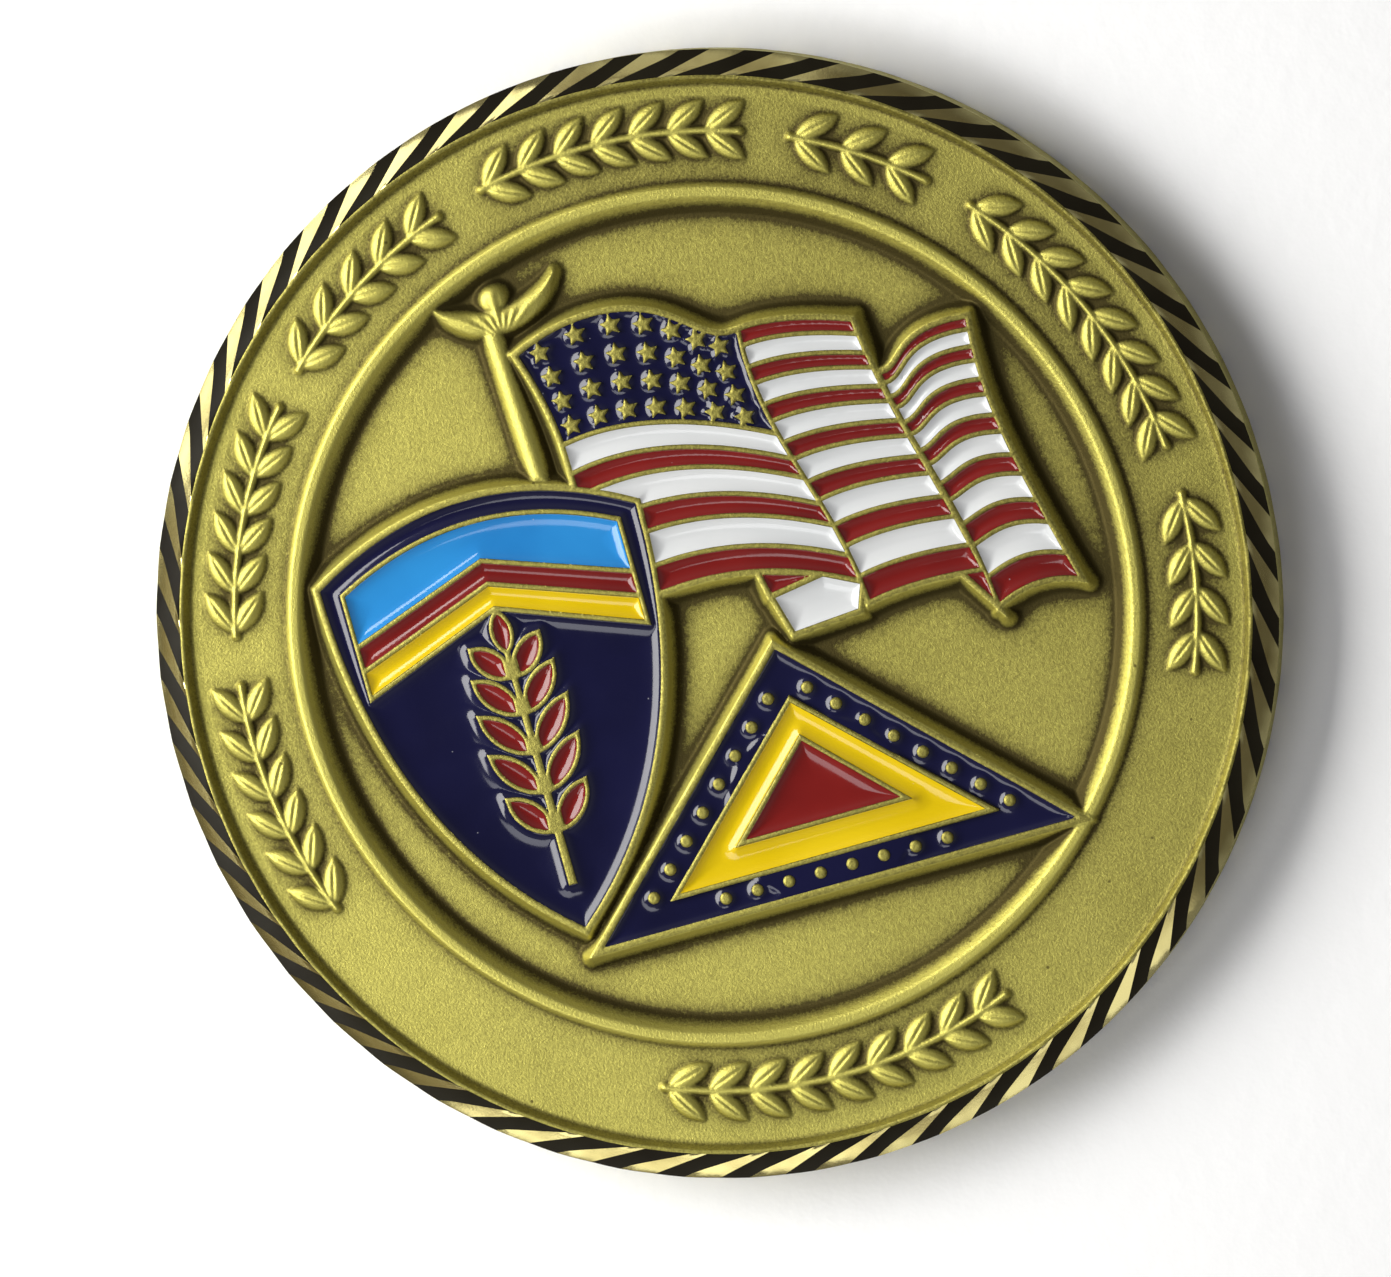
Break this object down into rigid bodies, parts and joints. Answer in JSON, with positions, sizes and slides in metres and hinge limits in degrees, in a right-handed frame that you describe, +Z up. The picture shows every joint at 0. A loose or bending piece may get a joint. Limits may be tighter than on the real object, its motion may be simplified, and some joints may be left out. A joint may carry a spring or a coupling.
{
  "type": "challenge coin",
  "caption": "Round struck brass commemorative coin with rope-cut rims, raised leaf sprigs, and a shield, triangle and waving flag in soft-enamel fills; struck brass reverse with a star in a leaf wreath.",
  "frame": {"origin": "centre of the reverse, on the plane of the reverse rim's flat land, which is what the coin lies on", "axes": "+Z up through the obverse, +Y towards the top of the obverse design, +X to its right, where the flag flies"},
  "size_m": [0.0444, 0.0444, 0.003],
  "materials": {
    "brass": "fine-grained satin antique plating, darker in the recesses, with bright cut facets on the rim",
    "navy_enamel": "glossy baked soft enamel, very dark blue",
    "light_blue_enamel": "glossy baked soft enamel, light blue",
    "red_enamel": "glossy baked soft enamel, deep red",
    "yellow_enamel": "glossy baked soft enamel, warm yellow",
    "white_enamel": "glossy baked soft enamel, cool white"
  },
  "bodies": {
    "root": {"coin_body": "brass", "canton_field": "navy_enamel", "hoist_stripe_8_white": "white_enamel", "hoist_stripe_9_red": "red_enamel", "hoist_stripe_10_white": "white_enamel", "hoist_stripe_11_red": "red_enamel", "hoist_stripe_12_white": "white_enamel", "hoist_stripe_13_red": "red_enamel", "middle_stripe_1_red": "red_enamel", "middle_stripe_2_white": "white_enamel", "middle_stripe_3_red": "red_enamel", "middle_stripe_4_white": "white_enamel", "middle_stripe_5_red": "red_enamel", "middle_stripe_6_white": "white_enamel", "middle_stripe_7_red": "red_enamel", "middle_stripe_8_white": "white_enamel", "middle_stripe_9_red": "red_enamel", "middle_stripe_10_white": "white_enamel", "middle_stripe_11_red": "red_enamel", "middle_stripe_12_white": "white_enamel", "middle_stripe_13_red": "red_enamel", "fly_stripe_1_red": "red_enamel", "fly_stripe_2_white": "white_enamel", "fly_stripe_3_red": "red_enamel", "fly_stripe_4_white": "white_enamel", "fly_stripe_5_red": "red_enamel", "fly_stripe_6_white": "white_enamel", "fly_stripe_7_red": "red_enamel", "fly_stripe_8_white": "white_enamel", "fly_stripe_9_red": "red_enamel", "fly_stripe_10_white": "white_enamel", "fly_stripe_11_red": "red_enamel", "fly_stripe_12_white": "white_enamel", "fly_stripe_13_red": "red_enamel", "fold_tab_white": "white_enamel", "fold_tab_red": "red_enamel", "fly_dart_red": "red_enamel", "shield_field": "navy_enamel", "chief_band_blue": "light_blue_enamel", "chief_band_red": "red_enamel", "chief_band_yellow": "yellow_enamel", "sprig_leaf_left_1": "red_enamel", "sprig_leaf_left_2": "red_enamel", "sprig_leaf_left_3": "red_enamel", "sprig_leaf_left_4": "red_enamel", "sprig_leaf_left_5": "red_enamel", "sprig_leaf_right_1": "red_enamel", "sprig_leaf_right_2": "red_enamel", "sprig_leaf_right_3": "red_enamel", "sprig_leaf_right_4": "red_enamel", "sprig_leaf_right_5": "red_enamel", "sprig_leaf_top": "red_enamel", "triangle_field": "navy_enamel", "triangle_frame": "yellow_enamel", "triangle_centre": "red_enamel"}
  },
  "joints": []
}
